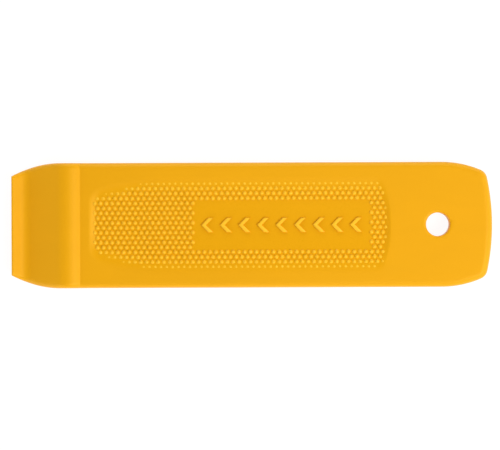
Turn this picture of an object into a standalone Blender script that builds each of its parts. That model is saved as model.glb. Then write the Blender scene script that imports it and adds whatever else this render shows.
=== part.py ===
"""Tyre lever: one injection-moulded nylon bar with a hooked spoon tip, a dished
grip panel, a hanging hole and a cored underside.

The origin is on the flat underside at mid-length. +X runs to the hanging hole,
-X to the hooked tip, and +Z is the side with the grip panel.
"""

import math

import bmesh
import bpy
import numpy as np
from mathutils import Matrix

MM = 0.001

# Bar
LENGTH = 112.0 * MM
WIDTH = 29.15 * MM
THICKNESS = 5.0 * MM
EDGE_RADIUS = 1.0 * MM

# Tail end
TAIL_END_RADIUS = 52.0 * MM
TAIL_SIDE_RADIUS = 23.0 * MM
TAIL_TAPER_LENGTH = 11.75 * MM
TAIL_CORNER_RADIUS = 2.6 * MM

# Hooked tip in plan
TIP_WIDTH = 23.1 * MM
TIP_SIDE_RADIUS = 23.1 * MM

# Hooked tip in side view: distances from the tip, heights from the bar's top
LIP_HEIGHT = -1.1 * MM
LIP_ANGLE = math.radians(29.0)
LIP_RADIUS = 0.25 * MM
VALLEY_DISTANCE = 3.25 * MM
VALLEY_HEIGHT = -2.85 * MM
VALLEY_RADIUS = 2.9 * MM
HUMP_DISTANCE = 13.4 * MM
HUMP_HEIGHT = 1.63 * MM
HUMP_RADIUS = 5.2 * MM
HUMP_BACK_ANGLE = math.radians(31.5)
HUMP_FOOT_RADIUS = 0.5 * MM

# Hooked tip's walls, and the arch under its hump that sits on a rim
TIP_WALL = 2.05 * MM
VALLEY_WALL = 1.8 * MM
ARCH_START = 10.4 * MM
ARCH_END = 15.0 * MM
ARCH_FOOT = 18.4 * MM
ARCH_HEIGHT = 1.9 * MM
ARCH_RADIUS = 3.0 * MM

# Dished grip panel
DISH_DEPTH = 0.7 * MM
DISH_EDGE_LAND = 3.7 * MM
DISH_TIP_DISTANCE = 18.15 * MM
DISH_TIP_HALF_WIDTH = 7.9 * MM
DISH_TIP_CORNER = 3.6 * MM
DISH_FLARE_LENGTH = 14.4 * MM
DISH_FLARE_RADIUS = 20.0 * MM
DISH_TAIL_DISTANCE = 23.8 * MM
DISH_TAIL_RADIUS = 31.0 * MM

# Row of raised chevrons along the middle of the panel, pointing to the tip
CHEVRON_COUNT = 9
CHEVRON_PITCH = 4.32 * MM
CHEVRON_WIDTH = 3.4 * MM
CHEVRON_STROKE = 1.15 * MM
CHEVRON_REACH = 1.7 * MM
CHEVRON_RELIEF = 0.3 * MM
CHEVRON_TAIL_DISTANCE = 49.1 * MM

# Hanging hole
HOLE_DIAMETER = 5.5 * MM
HOLE_RIM = 0.5 * MM
HOLE_TAIL_DISTANCE = 12.75 * MM

# Cored underside
FLOOR_WALL = 2.3 * MM
SIDE_WALL = 2.8 * MM
RIB = 1.8 * MM
CELLS_PER_HALF = 3
CELL_CORNER_RADIUS = 1.4 * MM
CORE_END_DISTANCE = 20.5 * MM

# How far cutters stand proud of what they cut, and how deep the raised marks are rooted
CUT_CLEARANCE = 1.0 * MM
DISH_OVERRUN = 0.2 * MM
MARK_ROOT = 0.6 * MM
WELD_DISTANCE = 0.001 * MM

# Straight steps in each rounded bend of the side view
BEND_STEPS = 10

TIP_X = -LENGTH / 2
TAIL_X = LENGTH / 2

for old in list(bpy.data.objects):
    bpy.data.objects.remove(old, do_unlink=True)


def make_collection(name):
    collection = bpy.data.collections.new(name)
    bpy.context.scene.collection.children.link(collection)
    return collection


parts = make_collection("tyre_lever")
cutters = make_collection("cutters")


# Plan and side-view geometry

def arc(centre, radius, start, end, steps):
    """Points on a circular arc from one angle to another, both ends included."""
    angles = np.linspace(start, end, steps + 1)
    return [(centre[0] + radius * math.cos(a), centre[1] + radius * math.sin(a)) for a in angles]


def left_meeting(centre_a, radius_a, centre_b, radius_b):
    """The crossing of two circles that lies on the left of the line from a to b."""
    ax, ay = centre_a
    bx, by = centre_b
    gap = math.hypot(bx - ax, by - ay)
    along = (gap * gap + radius_a * radius_a - radius_b * radius_b) / (2 * gap)
    aside = math.sqrt(radius_a * radius_a - along * along)
    ux, uy = (bx - ax) / gap, (by - ay) / gap
    return (ax + along * ux - aside * uy, ay + along * uy + aside * ux)


def bearing(origin, point):
    return math.atan2(point[1] - origin[1], point[0] - origin[0])


def rounded_path(corners, steps):
    """An open path through corner points (x, z, radius), each corner rounded by an arc."""
    path = [corners[0][:2]]
    for before, corner, after in zip(corners, corners[1:], corners[2:]):
        here = np.array(corner[:2])
        back = np.array(before[:2]) - here
        ahead = np.array(after[:2]) - here
        back /= np.linalg.norm(back)
        ahead /= np.linalg.norm(ahead)
        half_angle = math.acos(np.clip(back @ ahead, -1, 1)) / 2
        run = corner[2] / math.tan(half_angle)
        middle = back + ahead
        centre = here + middle / np.linalg.norm(middle) * corner[2] / math.sin(half_angle)
        first = bearing(centre, here + back * run)
        last = bearing(centre, here + ahead * run)
        turn = (last - first + math.pi) % (2 * math.pi) - math.pi
        path += arc(centre, corner[2], first, first + turn, steps)
    return path + [corners[-1][:2]]


def mirrored(half):
    """A closed outline from its upper half, which runs from the tail to the tip."""
    return half + [(x, -y) for x, y in reversed(half) if abs(y) > 1e-9]


def bar_outline():
    """The bar in plan: a straight-cut tip, straight sides and a rounded tail."""
    end_centre = (TAIL_X - TAIL_END_RADIUS, 0.0)
    side_centre = (TAIL_X - TAIL_TAPER_LENGTH, WIDTH / 2 - TAIL_SIDE_RADIUS)
    corner_centre = left_meeting(end_centre, TAIL_END_RADIUS - TAIL_CORNER_RADIUS,
                                 side_centre, TAIL_SIDE_RADIUS - TAIL_CORNER_RADIUS)
    end_turn = bearing(end_centre, corner_centre)
    side_turn = bearing(side_centre, corner_centre)
    drop = (WIDTH - TIP_WIDTH) / 2
    tip_turn = math.acos(1 - drop / TIP_SIDE_RADIUS)
    tip_centre = (TIP_X + TIP_SIDE_RADIUS * math.sin(tip_turn), WIDTH / 2 - TIP_SIDE_RADIUS)
    quarter = math.pi / 2
    half = arc(end_centre, TAIL_END_RADIUS, 0.0, end_turn, 8)
    half += arc(corner_centre, TAIL_CORNER_RADIUS, end_turn, side_turn, 4)[1:]
    half += arc(side_centre, TAIL_SIDE_RADIUS, side_turn, quarter, 8)[1:]
    half += arc(tip_centre, TIP_SIDE_RADIUS, quarter, quarter + tip_turn, 8)
    return mirrored(half)


def top_path():
    """The bar's top in side view: lip, valley, slope, hump and the flat handle."""
    lip_run = VALLEY_DISTANCE - (LIP_HEIGHT - VALLEY_HEIGHT) / math.tan(LIP_ANGLE)
    hump_foot = HUMP_DISTANCE + HUMP_HEIGHT / math.tan(HUMP_BACK_ANGLE)
    corners = [(0.0, LIP_HEIGHT, 0.0),
               (lip_run, LIP_HEIGHT, LIP_RADIUS),
               (VALLEY_DISTANCE, VALLEY_HEIGHT, VALLEY_RADIUS),
               (HUMP_DISTANCE, HUMP_HEIGHT, HUMP_RADIUS),
               (hump_foot, 0.0, HUMP_FOOT_RADIUS),
               (LENGTH, 0.0, 0.0)]
    return [(TIP_X + run, THICKNESS + z) for run, z in rounded_path(corners, BEND_STEPS)]


def bottom_path():
    """The bar's underside in side view: spoon, rim arch and the flat handle."""
    corners = [(0.0, THICKNESS + LIP_HEIGHT - TIP_WALL, 0.0),
               (VALLEY_DISTANCE, THICKNESS + VALLEY_HEIGHT - VALLEY_WALL, VALLEY_RADIUS),
               (ARCH_START, ARCH_HEIGHT, ARCH_RADIUS),
               (ARCH_END, ARCH_HEIGHT, ARCH_RADIUS),
               (ARCH_FOOT, 0.0, ARCH_RADIUS),
               (LENGTH, 0.0, 0.0)]
    return [(TIP_X + run, z) for run, z in rounded_path(corners, BEND_STEPS)]


def dish_plan():
    """The grip panel in plan: rounded and flared at the tip end, one arc at the tail end."""
    start = TIP_X + DISH_TIP_DISTANCE
    end = TAIL_X - DISH_TAIL_DISTANCE
    half_width = WIDTH / 2 - DISH_EDGE_LAND + DISH_OVERRUN
    end_turn = math.asin(half_width / DISH_TAIL_RADIUS)
    end_centre = (end - DISH_TAIL_RADIUS, 0.0)
    flank = rounded_path([(end_centre[0] + DISH_TAIL_RADIUS * math.cos(end_turn), half_width, 0.0),
                          (start + DISH_FLARE_LENGTH, half_width, DISH_FLARE_RADIUS),
                          (start, DISH_TIP_HALF_WIDTH, DISH_TIP_CORNER),
                          (start, 0.0, 0.0)], 6)
    return mirrored(arc(end_centre, DISH_TAIL_RADIUS, 0.0, end_turn, 10) + flank[1:-1])


def dish_section():
    """The grip panel's hollow across the bar: one shallow arc, open above the bar's top."""
    half_width = WIDTH / 2 - DISH_EDGE_LAND
    radius = (half_width * half_width + DISH_DEPTH * DISH_DEPTH) / (2 * DISH_DEPTH)
    turn = math.acos(1 - (DISH_DEPTH + CUT_CLEARANCE) / radius)
    centre = (0.0, THICKNESS - DISH_DEPTH + radius)
    down = -math.pi / 2
    return arc(centre, radius, down - turn, down + turn, 24)


def chevron(tip_x):
    """One chevron in plan, its point at tip_x and its arms trailing to the tail."""
    half = CHEVRON_WIDTH / 2
    return [(tip_x, 0.0), (tip_x + CHEVRON_REACH, -half),
            (tip_x + CHEVRON_REACH + CHEVRON_STROKE, -half), (tip_x + CHEVRON_STROKE, 0.0),
            (tip_x + CHEVRON_REACH + CHEVRON_STROKE, half), (tip_x + CHEVRON_REACH, half)]


def chevron_row():
    row_length = (CHEVRON_COUNT - 1) * CHEVRON_PITCH + CHEVRON_REACH + CHEVRON_STROKE
    first = TAIL_X - CHEVRON_TAIL_DISTANCE - row_length / 2
    return [chevron(first + number * CHEVRON_PITCH) for number in range(CHEVRON_COUNT)]


def rounded_rectangle(low_x, high_x, low_y, high_y, radius):
    outline = []
    for x, y, start in ((high_x - radius, high_y - radius, 0.0),
                        (low_x + radius, high_y - radius, math.pi / 2),
                        (low_x + radius, low_y + radius, math.pi),
                        (high_x - radius, low_y + radius, math.pi * 3 / 2)):
        outline += arc((x, y), radius, start, start + math.pi / 2, 3)
    return outline


def core_cells():
    """The pockets of the underside: two rows of equal cells with a rib through the origin."""
    half_length = LENGTH / 2 - CORE_END_DISTANCE
    cell_length = (half_length + RIB / 2) / CELLS_PER_HALF - RIB
    inner, outer = RIB / 2, WIDTH / 2 - SIDE_WALL
    cells = []
    for number in range(-CELLS_PER_HALF, CELLS_PER_HALF):
        low_x = RIB / 2 + number * (cell_length + RIB)
        for low_y, high_y in ((inner, outer), (-outer, -inner)):
            cells.append(rounded_rectangle(low_x, low_x + cell_length, low_y, high_y,
                                           CELL_CORNER_RADIUS))
    return cells


# Solids

def weld(mesh):
    """Joins the loose caps of a filled curve to its sides and faces the skin outwards."""
    work = bmesh.new()
    work.from_mesh(mesh)
    bmesh.ops.remove_doubles(work, verts=work.verts, dist=WELD_DISTANCE)
    bmesh.ops.recalc_face_normals(work, faces=work.faces)
    work.to_mesh(mesh)
    work.free()


def outline_solid(name, outlines, depth, matrix, edge_radius=0.0):
    """A solid from flat closed outlines, drawn in the matrix's XY plane and half above it."""
    curve = bpy.data.curves.new(name, "CURVE")
    curve.dimensions = "2D"
    curve.fill_mode = "BOTH"
    curve.extrude = depth / 2 - edge_radius
    curve.bevel_depth = edge_radius
    curve.bevel_resolution = 2
    curve.offset = -edge_radius
    for outline in outlines:
        spline = curve.splines.new("POLY")
        spline.points.add(len(outline) - 1)
        for point, (x, y) in zip(spline.points, outline):
            point.co = (x, y, 0.0, 1.0)
        spline.use_cyclic_u = True
    drawn = bpy.data.objects.new(name + "_drawn", curve)
    cutters.objects.link(drawn)
    drawn.matrix_world = matrix
    bpy.context.view_layer.update()
    graph = bpy.context.evaluated_depsgraph_get()
    mesh = bpy.data.meshes.new_from_object(drawn.evaluated_get(graph))
    weld(mesh)
    solid = bpy.data.objects.new(name, mesh)
    solid.matrix_world = drawn.matrix_world.copy()
    bpy.data.objects.remove(drawn, do_unlink=True)
    return solid


def plan_solid(name, outlines, low_z, high_z, edge_radius=0.0):
    """Outlines seen from above, made solid between two heights."""
    middle = Matrix.Translation((0.0, 0.0, (low_z + high_z) / 2))
    return outline_solid(name, outlines, high_z - low_z, middle, edge_radius)


def cross_solid(name, outlines, low_x, high_x):
    """Outlines seen from the tail, made solid between two places along the bar."""
    across = Matrix(((0, 0, 1), (1, 0, 0), (0, 1, 0))).to_4x4()
    middle = Matrix.Translation(((low_x + high_x) / 2, 0.0, 0.0))
    return outline_solid(name, outlines, high_x - low_x, middle @ across)


def turned_solid(name, profile, centre, steps):
    """A solid turned about Z from a profile (radius, z) that runs from top to bottom."""
    mesh = bpy.data.meshes.new(name)
    edges = [(number, number + 1) for number in range(len(profile) - 1)]
    mesh.from_pydata([(radius, 0.0, z) for radius, z in profile], edges, [])
    solid = bpy.data.objects.new(name, mesh)
    solid.location = (*centre, 0.0)
    screw = solid.modifiers.new("turn", "SCREW")
    screw.steps = steps
    screw.render_steps = steps
    screw.use_merge_vertices = True
    screw.merge_threshold = WELD_DISTANCE
    return solid


def as_cutter(solid):
    cutters.objects.link(solid)
    solid.hide_render = True
    solid.display_type = "WIRE"
    return solid


def combine(target, tool, operation):
    """Cuts, joins or trims one solid with another by an exact Boolean."""
    modifier = target.modifiers.new(tool.name, "BOOLEAN")
    modifier.operation = operation
    modifier.solver = "EXACT"
    modifier.object = tool


def bend_to_side_view(solid):
    """Slices a flat blank across at each bend of the side view and moves it to height.

    The blank lies between z = -THICKNESS / 2 and THICKNESS / 2. Each vertex keeps its
    share of the wall, so the rounded edges thin out with the wall towards the tip.
    """
    top = np.array(top_path()).T
    bottom = np.array(bottom_path()).T
    work = bmesh.new()
    work.from_mesh(solid.data)
    bmesh.ops.dissolve_limit(work, angle_limit=math.radians(0.1),
                             verts=work.verts, edges=work.edges)
    for station in sorted({*top[0][1:-1], *bottom[0][1:-1]}):
        everything = work.verts[:] + work.edges[:] + work.faces[:]
        bmesh.ops.bisect_plane(work, geom=everything, dist=WELD_DISTANCE,
                               plane_co=(station, 0.0, 0.0), plane_no=(1.0, 0.0, 0.0))
    for vertex in work.verts:
        low = np.interp(vertex.co.x, *bottom)
        high = np.interp(vertex.co.x, *top)
        share = vertex.co.z / THICKNESS + 0.5
        vertex.co.z = low + share * (high - low)
    work.to_mesh(solid.data)
    work.free()
    solid.location.z = 0.0


# Cutters

def dish_cutter():
    floor = THICKNESS - DISH_DEPTH
    start = TIP_X + DISH_TIP_DISTANCE - CUT_CLEARANCE
    end = TAIL_X - DISH_TAIL_DISTANCE + CUT_CLEARANCE
    plan = as_cutter(plan_solid("dish_cutter", [dish_plan()], floor - CUT_CLEARANCE,
                                THICKNESS + CUT_CLEARANCE / 2))
    section = as_cutter(cross_solid("dish_floor", [dish_section()], start, end))
    combine(plan, section, "INTERSECT")
    return plan


def hole_cutter():
    """A hole with chamfered rims on both faces."""
    bore = HOLE_DIAMETER / 2
    flare = bore + HOLE_RIM + CUT_CLEARANCE
    top, bottom = THICKNESS + CUT_CLEARANCE, -CUT_CLEARANCE
    profile = [(0.0, top), (flare, top), (bore, THICKNESS - HOLE_RIM),
               (bore, HOLE_RIM), (flare, bottom), (0.0, bottom)]
    return as_cutter(turned_solid("hole_cutter", profile, (TAIL_X - HOLE_TAIL_DISTANCE, 0.0), 40))


def core_cutter():
    depth = THICKNESS - DISH_DEPTH - FLOOR_WALL
    return as_cutter(plan_solid("core_cutter", core_cells(), -CUT_CLEARANCE, depth))


def chevron_marks():
    floor = THICKNESS - DISH_DEPTH
    return as_cutter(plan_solid("chevron_marks", chevron_row(), floor - MARK_ROOT,
                                floor + CHEVRON_RELIEF))


# Lever

def nylon():
    """Satin yellow glass-filled nylon, coloured right through."""
    material = bpy.data.materials.new("yellow_nylon")
    material.use_nodes = True
    shader = material.node_tree.nodes["Principled BSDF"]
    shader.inputs["Base Color"].default_value = (0.82, 0.38, 0.012, 1.0)
    shader.inputs["Roughness"].default_value = 0.45
    shader.inputs["Metallic"].default_value = 0.0
    return material


lever = plan_solid("lever_body", [bar_outline()], -THICKNESS / 2, THICKNESS / 2, EDGE_RADIUS)
parts.objects.link(lever)
bend_to_side_view(lever)
combine(lever, dish_cutter(), "DIFFERENCE")
combine(lever, core_cutter(), "DIFFERENCE")
combine(lever, hole_cutter(), "DIFFERENCE")
combine(lever, chevron_marks(), "UNION")
lever.data.materials.append(nylon())
lever.data.shade_smooth()
lever.data.set_sharp_from_angle(angle=math.radians(35.0))
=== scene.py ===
import math

import bmesh
import bpy
import numpy as np
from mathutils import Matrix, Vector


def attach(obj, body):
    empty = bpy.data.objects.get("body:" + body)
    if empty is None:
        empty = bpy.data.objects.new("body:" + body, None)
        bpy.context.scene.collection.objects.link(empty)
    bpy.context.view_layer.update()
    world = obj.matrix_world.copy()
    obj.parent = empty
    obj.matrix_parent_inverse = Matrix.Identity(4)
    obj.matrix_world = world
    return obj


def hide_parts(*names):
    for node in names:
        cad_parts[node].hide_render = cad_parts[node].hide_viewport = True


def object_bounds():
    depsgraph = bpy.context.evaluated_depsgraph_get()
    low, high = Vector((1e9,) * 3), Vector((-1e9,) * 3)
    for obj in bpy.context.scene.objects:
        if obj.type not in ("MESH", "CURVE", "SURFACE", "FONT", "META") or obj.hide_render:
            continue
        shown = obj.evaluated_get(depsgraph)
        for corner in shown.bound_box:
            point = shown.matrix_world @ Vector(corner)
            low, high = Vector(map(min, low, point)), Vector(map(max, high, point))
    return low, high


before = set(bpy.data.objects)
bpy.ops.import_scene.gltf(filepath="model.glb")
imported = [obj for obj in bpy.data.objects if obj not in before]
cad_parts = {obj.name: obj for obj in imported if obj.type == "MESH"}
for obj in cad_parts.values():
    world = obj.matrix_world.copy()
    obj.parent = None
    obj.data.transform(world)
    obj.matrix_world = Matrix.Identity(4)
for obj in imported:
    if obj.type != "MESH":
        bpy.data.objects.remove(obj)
cad_low, cad_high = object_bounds()
mm = 0.001


# Lever moulding: the whole lever is one injection moulding in satin yellow nylon.
# It is drawn as an outline in plan, bent to a side view with an upturned lip, a valley for
# the tyre bead, a hump over the rim and a flat handle. All sizes here are in millimetres.

half_length = (cad_high[0] - cad_low[0]) / 2 / mm
half_width = (cad_high[1] - cad_low[1]) / 2 / mm
bar_thickness = 5.0
tip_half_width, tip_side_radius, tip_corner = 11.55, 23.1, 0.25
tail_taper, tail_side_radius, tail_end_radius, tail_corner = 11.75, 23.0, 52.0, 2.6


def arc(centre, radius, start, end, steps):
    """Points on a circular arc from one angle to another, both ends included."""
    angles = np.linspace(start, end, steps + 1)
    return [(centre[0] + radius * math.cos(a), centre[1] + radius * math.sin(a)) for a in angles]


def bearing(origin, point):
    return math.atan2(point[1] - origin[1], point[0] - origin[0])


def rounded_path(corners, steps):
    """An open path through corners (x, y, radius), each corner rounded by an arc."""
    path = [corners[0][:2]]
    for before, corner, after in zip(corners, corners[1:], corners[2:]):
        here = np.array(corner[:2])
        back = np.array(before[:2]) - here
        ahead = np.array(after[:2]) - here
        back /= np.linalg.norm(back)
        ahead /= np.linalg.norm(ahead)
        half_angle = math.acos(np.clip(back @ ahead, -1, 1)) / 2
        run = corner[2] / math.tan(half_angle)
        middle = back + ahead
        centre = here + middle / np.linalg.norm(middle) * corner[2] / math.sin(half_angle)
        first = bearing(centre, here + back * run)
        last = bearing(centre, here + ahead * run)
        turn = (last - first + math.pi) % (2 * math.pi) - math.pi
        path += arc(centre, corner[2], first, first + turn, steps)
    return path + [corners[-1][:2]]


def left_meeting(centre_a, radius_a, centre_b, radius_b):
    """The crossing of two circles that lies on the left of the line from a to b."""
    ax, ay = centre_a
    bx, by = centre_b
    gap = math.hypot(bx - ax, by - ay)
    along = (gap * gap + radius_a * radius_a - radius_b * radius_b) / (2 * gap)
    aside = math.sqrt(radius_a * radius_a - along * along)
    ux, uy = (bx - ax) / gap, (by - ay) / gap
    return (ax + along * ux - aside * uy, ay + along * uy + aside * ux)


def bar_edge(inset):
    """The upper half of the bar's outline, pulled in by inset, as (side, tip end, tail end)."""
    tip_x, tail_x, width = inset - half_length, half_length - inset, half_width - inset
    side_radius, end_radius = tail_side_radius - inset, tail_end_radius - inset
    side_centre = (half_length - tail_taper, width - side_radius)
    end_centre = (tail_x - end_radius, 0.0)
    corner_centre = left_meeting(end_centre, end_radius - tail_corner,
                                 side_centre, side_radius - tail_corner)
    end_turn = bearing(end_centre, corner_centre)
    side_turn = bearing(side_centre, corner_centre)
    middle_turn = (end_turn + side_turn) / 2

    tip_turn = math.acos(1 - (half_width - tip_half_width) / tip_side_radius)
    flank_radius = tip_side_radius - inset
    flank_centre = (tip_side_radius * math.sin(tip_turn) - half_length, width - flank_radius)
    nip_x = tip_x + tip_corner
    nip_y = math.sqrt((flank_radius - tip_corner) ** 2 - (nip_x - flank_centre[0]) ** 2)
    nip_centre = (nip_x, flank_centre[1] + nip_y)
    nip_turn = bearing(flank_centre, nip_centre)
    nip_middle = (nip_turn + math.pi) / 2

    quarter = math.pi / 2
    side = (arc(nip_centre, tip_corner, nip_middle, nip_turn, 3)
            + arc(flank_centre, flank_radius, nip_turn, quarter, 24)[1:]
            + arc(side_centre, side_radius, quarter, side_turn, 24)
            + arc(corner_centre, tail_corner, side_turn, middle_turn, 4)[1:])
    tip_end = [(tip_x, 0.0)] + arc(nip_centre, tip_corner, math.pi, nip_middle, 3)
    tail_end = (arc(end_centre, end_radius, 0.0, end_turn, 40)
                + arc(corner_centre, tail_corner, end_turn, middle_turn, 4)[1:])
    return np.array(side), np.array(tip_end), np.array(tail_end)


lip_height, lip_angle, lip_radius, lip_wall = -1.1, 29.0, 0.25, 2.05
valley_place, valley_height, valley_radius, valley_wall = 3.25, -2.85, 2.9, 1.8
hump_place, hump_height, hump_radius, hump_back_angle, foot_radius = 13.4, 1.63, 5.2, 31.5, 0.5
arch_places, arch_height, arch_radius = (10.4, 15.0, 18.4), 1.9, 3.0


def side_views():
    """The top and the underside in side view, each as (places along the bar, heights)."""
    lip_run = valley_place - (lip_height - valley_height) / math.tan(math.radians(lip_angle))
    hump_foot = hump_place + hump_height / math.tan(math.radians(hump_back_angle))
    top = rounded_path([(0.0, lip_height, 0.0), (lip_run, lip_height, lip_radius),
                        (valley_place, valley_height, valley_radius),
                        (hump_place, hump_height, hump_radius), (hump_foot, 0.0, foot_radius),
                        (2 * half_length, 0.0, 0.0)], 10)
    under = rounded_path([(0.0, bar_thickness + lip_height - lip_wall, 0.0),
                          (valley_place, bar_thickness + valley_height - valley_wall,
                           valley_radius),
                          (arch_places[0], arch_height, arch_radius),
                          (arch_places[1], arch_height, arch_radius),
                          (arch_places[2], 0.0, arch_radius), (2 * half_length, 0.0, 0.0)], 10)
    top, under = np.array(top).T, np.array(under).T
    return (top[0] - half_length, top[1] + bar_thickness), (under[0] - half_length, under[1])


def even_steps(start, end, spacing):
    return list(np.linspace(start, end, max(2, round((end - start) / spacing)) + 1))


def smooth_step(value):
    share = np.clip(value, 0.0, 1.0)
    return share * share * (3 - 2 * share)


def distance_inside(x, y, edge):
    """How far each point lies from a closed outline."""
    points = np.stack((x, y), axis=-1)
    nearest = np.full(x.shape, np.inf)
    for start, end in zip(edge, np.roll(edge, -1, axis=0)):
        along = end - start
        share = np.clip(((points - start) @ along) / (along @ along), 0.0, 1.0)
        gap = points - start - share[..., None] * along
        nearest = np.minimum(nearest, np.hypot(gap[..., 0], gap[..., 1]))
    return nearest


dish_start, dish_end = 17.95 - half_length, half_length - 23.5
dish_half_width, dish_depth, dish_tip_depth, dish_rise = 10.8, 0.7, 0.47, 15.0
dish_radius = (dish_half_width ** 2 + dish_depth ** 2) / (2 * dish_depth)
dish_tip_radius, dish_end_radius, dish_fade = 110.0, 31.0, 0.03
dish_tip_half_width, dish_tip_corner, dish_flare, dish_flare_radius = 8.6, 4.4, 24.0, 8.0
dish_tip_wall, dish_tail_wall = 2.1, 1.8


def dish_arc(x, y):
    """Depth of the grip panel's hollow below the bar's top, without its end walls: a shallow
    arc across the bar, a little less deep at the tip."""
    share = smooth_step((x - dish_start) / dish_rise)
    middle = dish_tip_depth + (dish_depth - dish_tip_depth) * share
    return middle - y * y / (2 * (dish_tip_radius + (dish_radius - dish_tip_radius) * share))


def dish_inside(x, y):
    """How far a point lies inside the panel's end walls; negative outside them."""
    wide = half_width
    turn = math.asin(wide / dish_end_radius)
    right = (dish_end - dish_end_radius, 0.0)
    flank = rounded_path([(right[0] + dish_end_radius * math.cos(turn), wide, 0.0),
                          (dish_start + dish_flare, wide, dish_flare_radius),
                          (dish_start, dish_tip_half_width, dish_tip_corner),
                          (dish_start, 0.0, 0.0)], 12)
    half = arc(right, dish_end_radius, 0.0, turn, 24) + flank[1:-1]
    edge = np.array(half + [(px, -py) for px, py in reversed(half[1:])])
    wall_x = np.interp(np.abs(y), *np.array(flank[::-1])[:, ::-1].T)
    end_x = right[0] + np.sqrt(np.maximum(dish_end_radius ** 2 - y * y, 0.0))
    within = (x > wall_x) & (x < end_x)
    return np.where(within, 1.0, -1.0) * distance_inside(x, y, edge)


def dish(x, y):
    """Depth of the finished panel below the bar's top, faded out along its long sides."""
    hollow = dish_arc(x, y)
    hollow = (hollow + np.hypot(hollow, dish_fade)) / 2 - dish_fade / 6
    wall = np.where(x < 0.0, dish_tip_wall, dish_tail_wall)
    return np.maximum(hollow, 0.0) * smooth_step(dish_inside(x, y) / wall)


def rounding(distance, radius):
    """How far a rounded edge of that radius falls away at a distance from the outline."""
    rest = np.clip(radius - distance, 0.0, radius)
    return radius - np.sqrt(radius * radius - rest * rest)


def plan_grid(inset, roll):
    """A grid of points that fills the bar's outline: columns across it and rows along it,
    closest at the rolled edges, over the hook and at the panel's end walls. Each stretch of
    columns is given as its start, end and spacing."""
    least_gap, tail_bow_start = 0.008, 34.0
    side, tip_end, tail_end = bar_edge(inset)
    top, under = side_views()
    first, last = side[0, 0], side[-1, 0]
    bends = [x for x in (*top[0], *under[0]) if first + 0.7 < x < last - 2]
    lip_steps = (0.012, 0.03, 0.06, 0.1, 0.14, 0.18, 0.22, 0.26, 0.31, 0.38, 0.5, 0.65, 0.82, 1.0)
    hook, tip_wall, handle = (-54.6, -39.0, 0.26), (-38.8, -33.0, 0.16), (-32.0, 26.5, 1.1)
    tail_wall, tail = (27.0, 33.0, 0.16), (tail_bow_start, last - 1.8, 0.8)
    columns = [first] + [first + step for step in lip_steps]
    for stretch in (hook, tip_wall, handle, tail_wall, tail):
        columns += even_steps(*stretch)
    columns = np.array(sorted(columns + [last - 1.5 * step for step in roll] + bends))
    columns = columns[np.concatenate(([True], np.diff(columns) > least_gap))]
    width = np.interp(columns, *side.T)[:, None]
    inner = np.array(even_steps(-1.0, 1.0, 0.03))[None, :]
    low = -width + np.array(roll)[None, :-1]
    y = np.hstack((low, inner * (width - roll[-1]), -low[:, ::-1]))
    tail_bow = smooth_step((columns - tail_bow_start) / (last - tail_bow_start))[:, None]
    tip_bow = 1 - smooth_step(columns - first)[:, None]
    tail_x = np.interp(np.abs(y[-1]), *tail_end[:, ::-1].T)[None, :]
    tip_x = np.interp(np.abs(y[0]), *tip_end[:, ::-1].T)[None, :]
    x = columns[:, None] + tail_bow * (tail_x - last) + tip_bow * (tip_x - first)
    half = np.vstack((tip_end[:-1], side[:-1], tail_end[::-1]))
    edge = np.vstack((half, half[-2:0:-1] * (1.0, -1.0)))
    return x, y, edge


def mesh_object(name, points, faces):
    """A mesh object from points in millimetres, smooth all over."""
    mesh = bpy.data.meshes.new(name)
    mesh.from_pydata(np.asarray(points) * mm, [], faces)
    mesh.update()
    mesh.shade_smooth()
    made = bpy.data.objects.new(name, mesh)
    bpy.context.scene.collection.objects.link(made)
    return made


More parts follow.
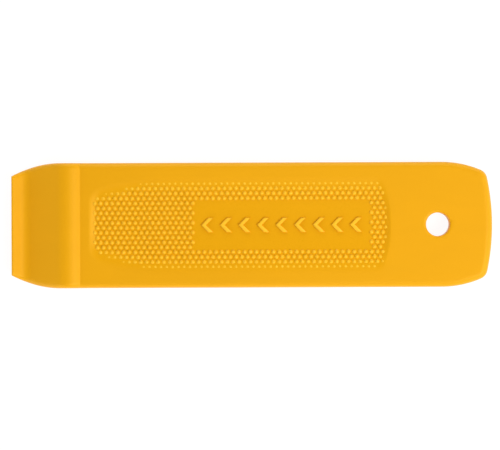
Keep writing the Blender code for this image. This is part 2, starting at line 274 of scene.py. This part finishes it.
def moulded_bar():
    """The bar as one closed skin: a top sheet, an underside sheet and drafted side walls that
    meet in a ridge at half height, where the mould parts. The radius of each rounded edge is
    given at places along the bar, and the walls' swell at shares of their height."""
    draft, edge_radius = 0.05, 1.3
    top_edge = ((-56, -54.5, -41, -37, 47, 55), (0.5, 1.0, 1.2, edge_radius, edge_radius, 1.6))
    under_edge = ((-56, -54, -41, -36), (0.45, 0.5, 0.5, 0.8))
    wall_swell = ((0.2, 0.25), (0.44, 0.55), (0.5, 1.0), (0.56, 0.55), (0.8, 0.25))
    roll = [edge_radius * (1 - math.cos(turn)) for turn in np.linspace(0.0, math.pi / 2, 10)]
    x, y, edge = plan_grid(draft, roll)
    top, under = side_views()
    near = distance_inside(x, y, edge)
    top_z = np.interp(x, *top) - dish(x, y) - rounding(near, np.interp(x, *top_edge))
    under_z = np.interp(x, *under) + rounding(near, np.interp(x, *under_edge))

    columns, rows = x.shape
    number = np.arange(columns * rows).reshape(columns, rows)
    rim = np.concatenate((number[:-1, 0], number[-1, :-1], number[:0:-1, -1], number[0, :0:-1]))
    flat = np.stack((x, y), axis=-1).reshape(-1, 2)
    ahead = np.roll(flat[rim], -1, axis=0) - np.roll(flat[rim], 1, axis=0)
    outward = np.stack((ahead[:, 1], -ahead[:, 0]), axis=1)
    outward /= np.linalg.norm(outward, axis=1)[:, None]

    points = [np.column_stack((flat, top_z.ravel())), np.column_stack((flat, under_z.ravel()))]
    sheet = columns * rows
    loops = [rim + sheet]
    high, low = top_z.ravel()[rim], under_z.ravel()[rim]
    for share, swell in wall_swell:
        ring = flat[rim] + outward * draft * swell
        points.append(np.column_stack((ring, low + share * (high - low))))
        loops.append(np.arange(len(rim)) + 2 * sheet + (len(loops) - 1) * len(rim))
    loops.append(rim)

    corner = number[:-1, :-1].ravel()
    quads = np.column_stack((corner, corner + rows, corner + rows + 1, corner + 1))
    faces = quads.tolist() + (quads[:, ::-1] + sheet).tolist()
    for lower, upper in zip(loops, loops[1:]):
        faces += np.column_stack((lower, np.roll(lower, -1), np.roll(upper, -1), upper)).tolist()
    bar = mesh_object("lever_moulding", np.vstack(points), faces)
    polish = bar.data.attributes.new("polish", "FLOAT", "POINT")
    amount = np.zeros(len(bar.data.vertices), np.float32)
    amount[:sheet] = smooth_step(dish(x, y).ravel() / 0.2)
    polish.data.foreach_set("value", amount)
    return bar


def lofted(name, rings):
    """A closed solid through rings of points that match one to one, from bottom to top."""
    count = len(rings[0])
    faces = [list(range(count))[::-1], [count * (len(rings) - 1) + n for n in range(count)]]
    for ring in range(len(rings) - 1):
        for n in range(count):
            after = (n + 1) % count
            faces.append([ring * count + n, ring * count + after,
                          (ring + 1) * count + after, (ring + 1) * count + n])
    return mesh_object(name, np.vstack(rings), faces)


def level_ring(outline, height):
    return np.column_stack((outline, np.full(len(outline), height)))


def rounded_rectangle(middle, half_x, half_y, radius):
    outline = []
    for side_x, side_y, start in ((1, 1, 0.0), (-1, 1, 0.5), (-1, -1, 1.0), (1, -1, 1.5)):
        centre = (middle[0] + side_x * (half_x - radius), middle[1] + side_y * (half_y - radius))
        outline += arc(centre, radius, start * math.pi, (start + 0.5) * math.pi, 6)
    return outline


hole_from_tail, hole_radius, hole_rim = 12.75, 2.75, 0.5
hole_x = half_length - hole_from_tail


def hole_tool():
    """The core pin of the hanging hole, flared at both faces into rolled rims."""
    upper = [(hole_radius + hole_rim + hole_rim * math.cos(turn),
              bar_thickness - hole_rim + hole_rim * math.sin(turn))
             for turn in np.linspace(math.pi, math.pi / 2 + 0.08, 7)]
    upper.append((hole_radius + 2.2 * hole_rim, bar_thickness + 0.2))
    profile = [(radius, bar_thickness - z) for radius, z in reversed(upper)] + upper
    rings = [level_ring(arc((hole_x, 0.0), radius, 0.0, 2 * math.pi, 72)[:-1], z)
             for radius, z in profile]
    return lofted("hole_tool", rings)


cell_length, cell_width, rib, core_depth = 10.33, 10.8, 1.8, 2.0
cell_middles = [(side_x * (rib / 2 + cell_length / 2 + n * (cell_length + rib)),
                 side_y * (rib + cell_width) / 2)
                for side_x in (-1, 1) for n in range(3) for side_y in (-1, 1)]


def core_tool(middle):
    """The core that leaves one pocket of the underside: drafted, with a rolled floor."""
    draft, roll, corner, stand = 0.12, 0.5, 1.4, 0.5
    rings = [(-stand, -draft * stand / core_depth), (core_depth - roll, draft)]
    for turn in np.linspace(math.pi / 8, math.pi / 2, 4):
        rings.append((core_depth - roll * (1 - math.sin(turn)),
                      draft + roll * (1 - math.cos(turn))))
    return lofted("core_tool", [
        level_ring(rounded_rectangle(middle, cell_length / 2 - shrink, cell_width / 2 - shrink,
                                     corner - shrink), z) for z, shrink in rings])


def joined(objects):
    """Several mesh objects made one, their solids left separate."""
    mesh = bmesh.new()
    for part in objects:
        mesh.from_mesh(part.data)
    mesh.to_mesh(objects[0].data)
    mesh.free()
    for part in objects[1:]:
        bpy.data.objects.remove(part, do_unlink=True)
    return objects[0]


def finished(made):
    """The object with its modifiers applied."""
    graph = bpy.context.evaluated_depsgraph_get()
    mesh = bpy.data.meshes.new_from_object(made.evaluated_get(graph))
    made.modifiers.clear()
    made.data = mesh
    return made


def cut(target, tool):
    modifier = target.modifiers.new("cut", "BOOLEAN")
    modifier.operation = "DIFFERENCE"
    modifier.solver = "EXACT"
    modifier.object = tool
    finished(target)
    bpy.data.objects.remove(tool, do_unlink=True)


def add_node(tree, kind, settings=(), **inputs):
    """A node with its settings and inputs; an input is a value or another node's output."""
    node = tree.nodes.new(kind)
    for name, value in dict(settings).items():
        setattr(node, name, value)
    for name, value in inputs.items():
        socket = node.inputs[int(name[1:])] if name[1:].isdigit() else node.inputs[name]
        if isinstance(value, bpy.types.NodeSocket):
            tree.links.new(value, socket)
        else:
            socket.default_value = value
    return node


def shader_group(name, sizes, outputs):
    """An empty shader node group with named number inputs: (group, inputs, output node)."""
    group = bpy.data.node_groups.new(name, "ShaderNodeTree")
    for size, value in sizes.items():
        socket = group.interface.new_socket(size, in_out="INPUT", socket_type="NodeSocketFloat")
        socket.default_value = value
    for output in outputs:
        group.interface.new_socket(output, in_out="OUTPUT", socket_type="NodeSocketFloat")
    given = group.nodes.new("NodeGroupInput")
    result = group.nodes.new("NodeGroupOutput")
    return group, given.outputs, result


def mould_texture():
    """The fine spark-eroded grain of the mould: a height, and a mask of its glossier peaks."""
    group, given, result = shader_group("mould_texture", {"Grains per metre": 4200.0},
                                        ["Height", "Peaks"])
    place = add_node(group, "ShaderNodeTexCoord").outputs["Object"]
    grain = add_node(group, "ShaderNodeTexNoise", i0=place, Scale=given["Grains per metre"],
                     Detail=3.0, Roughness=0.6).outputs["Fac"]
    peaks = add_node(group, "ShaderNodeMapRange", i0=grain, i1=0.45, i2=0.75).outputs[0]
    group.links.new(grain, result.inputs["Height"])
    group.links.new(peaks, result.inputs["Peaks"])
    return group


def flow_marks():
    """Cloudy tone left where the melt ran from the gate along the bar, as a factor near one."""
    group, given, result = shader_group("flow_marks", {"Contrast": 0.06}, ["Tone"])
    place = add_node(group, "ShaderNodeTexCoord").outputs["Object"]
    along = add_node(group, "ShaderNodeMapping", i0=place, Scale=(45.0, 160.0, 160.0)).outputs[0]
    cloud = add_node(group, "ShaderNodeTexNoise", i0=along, Scale=1.0, Detail=2.0,
                     Distortion=0.6).outputs["Fac"]
    centred = add_node(group, "ShaderNodeMath", {"operation": "SUBTRACT"}, i0=cloud,
                       i1=0.5).outputs[0]
    tone = add_node(group, "ShaderNodeMath", {"operation": "MULTIPLY_ADD"}, i0=centred,
                    i1=given["Contrast"], i2=1.0).outputs[0]
    group.links.new(tone, result.inputs["Tone"])
    return group


mould_texture_group, flow_marks_group = mould_texture(), flow_marks()


def nylon(name, satin, polished, grain_depth):
    """Yellow nylon, coloured right through: glossier where the mesh's polish value is one,
    and paler on the raised tops of the dots and chevrons, a painted highlight."""
    # The paler yellow is a painted highlight, mixed in on the raised tops.
    yellow, painted_highlight_yellow = (0.80, 0.368, 0.004, 1.0), (0.93, 0.52, 0.027, 1.0)
    material = bpy.data.materials.new(name)
    material.use_nodes = True
    tree = material.node_tree
    shader = tree.nodes["Principled BSDF"]
    grain = add_node(tree, "ShaderNodeGroup", {"node_tree": mould_texture_group})
    flow = add_node(tree, "ShaderNodeGroup", {"node_tree": flow_marks_group})
    polish = add_node(tree, "ShaderNodeAttribute", {"attribute_name": "polish"}).outputs["Fac"]
    # The mask of the painted highlight on the raised tops.
    crown = add_node(tree, "ShaderNodeAttribute", {"attribute_name": "crown"}).outputs["Fac"]
    colour = add_node(tree, "ShaderNodeMix", {"data_type": "RGBA"}, Factor=crown, i6=yellow,
                      i7=painted_highlight_yellow).outputs[2]
    tint = add_node(tree, "ShaderNodeVectorMath", {"operation": "SCALE"}, i0=colour,
                    Scale=flow.outputs["Tone"]).outputs[0]
    gloss = add_node(tree, "ShaderNodeMapRange", i0=polish, i3=satin, i4=polished).outputs[0]
    patchy = add_node(tree, "ShaderNodeMath", {"operation": "MULTIPLY_ADD"},
                      i0=grain.outputs["Peaks"], i1=-0.05, i2=gloss).outputs[0]
    depth = add_node(tree, "ShaderNodeMapRange", i0=polish, i3=1.0, i4=0.35).outputs[0]
    height = add_node(tree, "ShaderNodeMath", {"operation": "MULTIPLY"},
                      i0=grain.outputs["Height"], i1=depth).outputs[0]
    bump = add_node(tree, "ShaderNodeBump", Strength=1.0, Distance=grain_depth,
                    Height=height).outputs[0]
    tree.links.new(tint, shader.inputs["Base Color"])
    tree.links.new(patchy, shader.inputs["Roughness"])
    tree.links.new(bump, shader.inputs["Normal"])
    shader.inputs["IOR"].default_value = 1.53
    shader.inputs["Specular Tint"].default_value = (1.0, 0.65, 0.2, 1.0)
    return material


yellow_nylon = nylon("yellow_nylon", 0.46, 0.30, 0.006 * mm)


lever = moulded_bar()
cut(lever, hole_tool())
cut(lever, joined([core_tool(middle) for middle in cell_middles]))
lever.data.shade_smooth()
lever.data.set_sharp_from_angle(angle=math.radians(32.0))
lever.modifiers.new("even_shading", "WEIGHTED_NORMAL").keep_sharp = True
finished(lever)
lever.data.materials.clear()
lever.data.materials.append(yellow_nylon)
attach(lever, "root")
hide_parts("lever_body")


# Grip dots: rows of low domes moulded in one with the panel's floor, in a honeycomb pattern
# round the plain middle. The outer rows are lower and fade out where the hollow ends, and the
# ones in its end walls sink into the skin.

def calculate(tree, operation, *values):
    """A Math node's output."""
    inputs = {f"i{n}": value for n, value in enumerate(values)}
    return add_node(tree, "ShaderNodeMath", {"operation": operation}, **inputs).outputs[0]


def growing_tree(name, sizes):
    """An empty Geometry Nodes tree with named inputs: (tree, its input sockets)."""
    tree = bpy.data.node_groups.new(name, "GeometryNodeTree")
    for size, value in sizes.items():
        kind = "NodeSocketInt" if isinstance(value, int) else "NodeSocketFloat"
        tree.interface.new_socket(size, in_out="INPUT", socket_type=kind).default_value = value
    tree.interface.new_socket("Geometry", in_out="OUTPUT", socket_type="NodeSocketGeometry")
    return tree, tree.nodes.new("NodeGroupInput").outputs


def close_tree(tree, instances, material):
    """Ends a tree: instances made real, shaded smooth and given their material."""
    real = add_node(tree, "GeometryNodeRealizeInstances", i0=instances).outputs[0]
    smooth = add_node(tree, "GeometryNodeSetShadeSmooth", i0=real).outputs[0]
    painted = add_node(tree, "GeometryNodeSetMaterial", i0=smooth, Material=material).outputs[0]
    tree.links.new(painted, tree.nodes.new("NodeGroupOutput").inputs[0])


def grown(name, tree, sizes, material):
    """A piece grown by a Geometry Nodes tree at the given sizes, made a plain mesh."""
    piece = bpy.data.objects.new(name, bpy.data.meshes.new(name))
    modifier = piece.modifiers.new(name, "NODES")
    modifier.node_group = tree
    for item in tree.interface.items_tree:
        if item.in_out == "INPUT":
            modifier[item.identifier] = sizes[item.name]
    bpy.context.scene.collection.objects.link(piece)
    finished(piece)
    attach(piece, "root")
    return piece


dot_sizes = {"Pitch": 1.3403 * mm, "Row pitch": 1.141 * mm, "Columns": 52, "Rows": 20,
             "First dot": -36.525 * mm, "Dome radius": 0.58 * mm, "Dome height": 0.4 * mm,
             "Rise": 0.30 * mm, "Full out to": 8.0 * mm, "None past": 10.3 * mm,
             "Drawn in at tip": 3.2 * mm, "Least rise": 0.03 * mm, "Tops at tip": -0.03 * mm,
             "Tops at tail": 0.06 * mm, "Tip end": -24.0 * mm, "Tail end": -12.0 * mm,
             "Bar top": bar_thickness * mm, "Hollow": dish_depth * mm,
             "Hollow at tip": dish_tip_depth * mm, "Hollow start": dish_start * mm,
             "Hollow rise": dish_rise * mm, "Hollow radius": dish_radius * mm,
             "Hollow radius at tip": dish_tip_radius * mm,
             "Plain from": -13.3 * mm, "Plain to": 27.75 * mm, "Plain half width": 5.65 * mm}


def dot_tree(skin, material):
    tree, size = growing_tree("grip_dots", dot_sizes)
    run = calculate(tree, "MULTIPLY", calculate(tree, "SUBTRACT", size["Columns"], 1.0),
                    size["Pitch"])
    span = calculate(tree, "MULTIPLY", calculate(tree, "SUBTRACT", size["Rows"], 1.0),
                     size["Row pitch"])
    lattice = add_node(tree, "GeometryNodeMeshGrid", i0=run, i1=span, i2=size["Columns"],
                       i3=size["Rows"]).outputs["Mesh"]
    row = calculate(tree, "MODULO", add_node(tree, "GeometryNodeInputIndex").outputs[0],
                    size["Rows"])
    staggered = calculate(tree, "MODULO", row, 2.0)
    place = add_node(tree, "ShaderNodeSeparateXYZ",
                     i0=add_node(tree, "GeometryNodeInputPosition").outputs[0]).outputs
    start = calculate(tree, "MULTIPLY_ADD", run, 0.5, size["First dot"])
    stagger = calculate(tree, "MULTIPLY", staggered,
                        calculate(tree, "MULTIPLY", size["Pitch"], 0.5))
    x = calculate(tree, "ADD", calculate(tree, "ADD", place[0], start), stagger)
    y = place[1]

    rise_end = calculate(tree, "ADD", size["Hollow start"], size["Hollow rise"])
    middle = add_node(tree, "ShaderNodeMapRange", {"interpolation_type": "SMOOTHSTEP"}, i0=x,
                      i1=size["Hollow start"], i2=rise_end, i3=size["Hollow at tip"],
                      i4=size["Hollow"]).outputs[0]
    radius = add_node(tree, "ShaderNodeMapRange", {"interpolation_type": "SMOOTHSTEP"}, i0=x,
                      i1=size["Hollow start"], i2=rise_end, i3=size["Hollow radius at tip"],
                      i4=size["Hollow radius"]).outputs[0]
    lift = calculate(tree, "DIVIDE", calculate(tree, "MULTIPLY", y, y),
                     calculate(tree, "MULTIPLY", radius, 2.0))
    floor = calculate(tree, "ADD", calculate(tree, "SUBTRACT", size["Bar top"], middle), lift)
    drawn_in = add_node(tree, "ShaderNodeMapRange", {"interpolation_type": "SMOOTHSTEP"}, i0=x,
                        i1=size["Hollow start"], i2=rise_end, i3=size["Drawn in at tip"],
                        i4=0.0).outputs[0]
    out = calculate(tree, "ADD", calculate(tree, "ABSOLUTE", y), drawn_in)
    rise = add_node(tree, "ShaderNodeMapRange", i0=out, i1=size["Full out to"],
                    i2=size["None past"], i3=size["Rise"], i4=0.0).outputs[0]
    ceiling = add_node(tree, "ShaderNodeMapRange", i0=x, i1=size["Tip end"],
                       i2=size["Tail end"], i3=size["Tops at tip"],
                       i4=size["Tops at tail"]).outputs[0]
    apex = calculate(tree, "MINIMUM", calculate(tree, "ADD", floor, rise),
                     calculate(tree, "ADD", size["Bar top"], ceiling))
    centre = calculate(tree, "SUBTRACT", apex, size["Dome height"])
    seat = add_node(tree, "ShaderNodeCombineXYZ", i0=x, i1=y, i2=centre).outputs[0]
    above = add_node(tree, "ShaderNodeCombineXYZ", i0=x, i1=y,
                     i2=calculate(tree, "MULTIPLY", size["Bar top"], 3.0)).outputs[0]

    shell = add_node(tree, "GeometryNodeObjectInfo", Object=skin).outputs["Geometry"]
    struck = add_node(tree, "GeometryNodeRaycast", **{
        "Target Geometry": shell, "Source Position": above, "Ray Direction": (0.0, 0.0, -1.0)})
    skin_height = add_node(tree, "ShaderNodeSeparateXYZ",
                           i0=struck.outputs["Hit Position"]).outputs[2]
    sunk = calculate(tree, "LESS_THAN", calculate(tree, "SUBTRACT", apex, skin_height),
                     size["Least rise"])
    past_start = calculate(tree, "GREATER_THAN", x, size["Plain from"])
    before_end = calculate(tree, "LESS_THAN", x, size["Plain to"])
    between = calculate(tree, "LESS_THAN", calculate(tree, "ABSOLUTE", y),
                        size["Plain half width"])
    plain = calculate(tree, "MULTIPLY", calculate(tree, "MULTIPLY", past_start, before_end),
                      between)
    left_out = calculate(tree, "MAXIMUM", sunk, plain)

    noted = add_node(tree, "GeometryNodeCaptureAttribute", i0=lattice)
    noted.capture_items.new("FLOAT", "Left out")
    tree.links.new(left_out, noted.inputs[1])
    seated = add_node(tree, "GeometryNodeSetPosition", i0=noted.outputs[0],
                      Position=seat).outputs[0]
    kept = add_node(tree, "GeometryNodeDeleteGeometry", {"domain": "POINT"}, i0=seated,
                    Selection=noted.outputs[1]).outputs[0]
    ball = add_node(tree, "GeometryNodeMeshUVSphere", Segments=10, Rings=6,
                    Radius=size["Dome radius"]).outputs["Mesh"]
    squash = add_node(tree, "ShaderNodeCombineXYZ", i0=1.0, i1=1.0,
                      i2=calculate(tree, "DIVIDE", size["Dome height"], size["Dome radius"]))
    dome = add_node(tree, "GeometryNodeTransform", i0=ball, Scale=squash.outputs[0]).outputs[0]
    # Painted highlight: the upper part of each dome is stored as a share that pales its colour.
    height = add_node(tree, "ShaderNodeSeparateXYZ",
                      i0=add_node(tree, "GeometryNodeInputPosition").outputs[0]).outputs[2]
    share = add_node(tree, "ShaderNodeMapRange", i0=height,
                     i1=calculate(tree, "MULTIPLY", size["Dome height"], 0.45),
                     i2=size["Dome height"]).outputs[0]
    dome_with_painted_highlight = add_node(tree, "GeometryNodeStoreNamedAttribute", i0=dome, Name="crown",
                       Value=share).outputs[0]
    domes = add_node(tree, "GeometryNodeInstanceOnPoints", i0=kept,
                     Instance=dome_with_painted_highlight).outputs[0]
    close_tree(tree, domes, material)
    return tree


polished_nylon = nylon("polished_yellow_nylon", 0.34, 0.34, 0.002 * mm)
grip_dots = grown("grip_dots", dot_tree(lever, polished_nylon), dot_sizes, polished_nylon)


# Panel marks: a row of plain raised chevrons in the middle of the panel, pointing to the
# hooked end that goes under the tyre. They are moulded in one with the floor, with straight
# sides and rolled tops.

mark_sizes = {"Count": 9, "Pitch": 4.32 * mm, "First mark": -11.8 * mm,
              "Floor": (bar_thickness - dish_depth) * mm}


def chevron_mark():
    """One chevron, its point at the origin and its arms trailing along X."""
    half, reach, stroke, relief, root, roll = 1.7, 1.7, 1.2, 0.42, 0.4, 0.2
    outline = [(0.0, 0.0), (reach, -half), (reach + stroke, -half), (stroke, 0.0),
               (reach + stroke, half), (reach, half)]
    mark = lofted("chevron_mark", [level_ring(outline, -root), level_ring(outline, relief)])
    mesh = bmesh.new()
    mesh.from_mesh(mark.data)
    crest = [edge for edge in mesh.edges if all(vert.co.z > 0 for vert in edge.verts)]
    bmesh.ops.bevel(mesh, geom=crest, offset=roll * mm, segments=3, profile=0.5,
                    affect="EDGES")
    # Painted highlight: the rolled tops are marked so that they are painted paler.
    crown = mesh.verts.layers.float.new("crown")
    for vert in mesh.verts:
        vert[crown] = float(vert.co.z > 0.8 * relief * mm)
    mesh.to_mesh(mark.data)
    mesh.free()
    return mark


def mark_tree(mark, material):
    tree, size = growing_tree("panel_marks", mark_sizes)
    first = add_node(tree, "ShaderNodeCombineXYZ", i0=size["First mark"],
                     i2=size["Floor"]).outputs[0]
    step = add_node(tree, "ShaderNodeCombineXYZ", i0=size["Pitch"]).outputs[0]
    row = add_node(tree, "GeometryNodeMeshLine", Count=size["Count"], i2=first,
                   i3=step).outputs[0]
    shape = add_node(tree, "GeometryNodeObjectInfo", Object=mark).outputs["Geometry"]
    marks = add_node(tree, "GeometryNodeInstanceOnPoints", i0=row, Instance=shape).outputs[0]
    close_tree(tree, marks, material)
    return tree


mark_pattern = chevron_mark()
panel_marks = grown("panel_marks", mark_tree(mark_pattern, polished_nylon), mark_sizes,
                    polished_nylon)
bpy.data.objects.remove(mark_pattern, do_unlink=True)


# Ejector marks: the low round witness of a pin on the floor of each pocket underneath,
# where pins pushed the moulding off its cores.

pin_sizes = {"Pitch": (cell_length + rib) * mm, "Row pitch": (cell_width + rib) * mm,
             "Columns": 6, "Rows": 2, "Pin radius": 1.6 * mm, "Floor": core_depth * mm,
             "Height": 0.2 * mm}


def pin_tree(material):
    tree, size = growing_tree("ejector_marks", pin_sizes)
    run = calculate(tree, "MULTIPLY", calculate(tree, "SUBTRACT", size["Columns"], 1.0),
                    size["Pitch"])
    lattice = add_node(tree, "GeometryNodeMeshGrid", i0=run, i1=size["Row pitch"],
                       i2=size["Columns"], i3=size["Rows"]).outputs["Mesh"]
    lift = add_node(tree, "ShaderNodeCombineXYZ", i2=size["Floor"]).outputs[0]
    raised = add_node(tree, "GeometryNodeSetPosition", i0=lattice, Offset=lift).outputs[0]
    disc = add_node(tree, "GeometryNodeMeshCylinder", Vertices=28, Radius=size["Pin radius"],
                    Depth=size["Height"]).outputs["Mesh"]
    discs = add_node(tree, "GeometryNodeInstanceOnPoints", i0=raised, Instance=disc).outputs[0]
    close_tree(tree, discs, material)
    return tree


ejector_marks = grown("ejector_marks", pin_tree(yellow_nylon), pin_sizes, yellow_nylon)
ejector_marks.data.set_sharp_from_angle(angle=math.radians(40.0))


# Studio: a plain white floor, a large soft light over the tail's near side, two weaker ones
# low down on the tip's near side and the far side, and a camera straight above.

def floor_material():
    """Plain white, and clear from beneath so that the underside can be looked at."""
    material = bpy.data.materials.new("white_floor")
    material.use_nodes = True
    shader = material.node_tree.nodes["Principled BSDF"]
    shader.inputs["Base Color"].default_value = (0.12, 0.12, 0.12, 1.0)
    shader.inputs["Roughness"].default_value = 0.9
    shader.inputs["Specular IOR Level"].default_value = 0.0
    shader.inputs["Emission Color"].default_value = (1.0, 1.0, 1.0, 1.0)
    shader.inputs["Emission Strength"].default_value = 0.93
    back = add_node(material.node_tree, "ShaderNodeNewGeometry").outputs["Backfacing"]
    front = add_node(material.node_tree, "ShaderNodeMath", {"operation": "SUBTRACT"}, i0=1.0,
                     i1=back).outputs[0]
    material.node_tree.links.new(front, shader.inputs["Alpha"])
    return material


def studio_floor():
    bpy.ops.mesh.primitive_plane_add(size=6.0, location=(0.0, 0.0, -0.02 * mm))
    floor = bpy.context.object
    floor.name = "studio_floor"
    floor.data.materials.append(floor_material())


def soft_light(name, place, size, power):
    """A square area light, aimed at the lever's middle and not seen itself."""
    lamp = bpy.data.lights.new(name, "AREA")
    lamp.size = size
    lamp.energy = power
    light = bpy.data.objects.new(name, lamp)
    light.location = place
    light.rotation_euler = (-light.location).to_track_quat("-Z", "Y").to_euler()
    light.visible_camera = False
    bpy.context.scene.collection.objects.link(light)


def studio_world():
    """White round the horizon and dim overhead, as in a tent with a dark ceiling."""
    world = bpy.data.worlds.new("studio_tent")
    world.use_nodes = True
    tree = world.node_tree
    way = add_node(tree, "ShaderNodeTexCoord").outputs["Generated"]
    height = add_node(tree, "ShaderNodeSeparateXYZ", i0=way).outputs[2]
    strength = add_node(tree, "ShaderNodeMapRange", {"interpolation_type": "SMOOTHSTEP"},
                        i0=height, i1=0.15, i2=0.65, i3=1.25, i4=0.13).outputs[0]
    tree.links.new(strength, tree.nodes["Background"].inputs["Strength"])
    tree.nodes["Background"].inputs["Color"].default_value = (1.0, 1.0, 1.0, 1.0)
    bpy.context.scene.world = world


def overhead_camera():
    lens = bpy.data.cameras.new("overhead_camera")
    lens.lens = 200.0
    camera = bpy.data.objects.new("overhead_camera", lens)
    camera.location = (-0.41 * mm, 0.0, 650.1 * mm)
    camera.rotation_euler = (0.0, 0.0, math.radians(-0.22))
    bpy.context.scene.collection.objects.link(camera)
    bpy.context.scene.camera = camera


studio_floor()
soft_light("key_light", (0.364, -0.219, 0.506), 0.40, 3.7)
soft_light("fill_light", (-0.423, -0.423, 0.279), 0.40, 0.9)
soft_light("back_light", (0.0, 0.598, 0.279), 0.40, 1.5)
studio_world()
overhead_camera()
bpy.context.scene.view_settings.view_transform = "Standard"
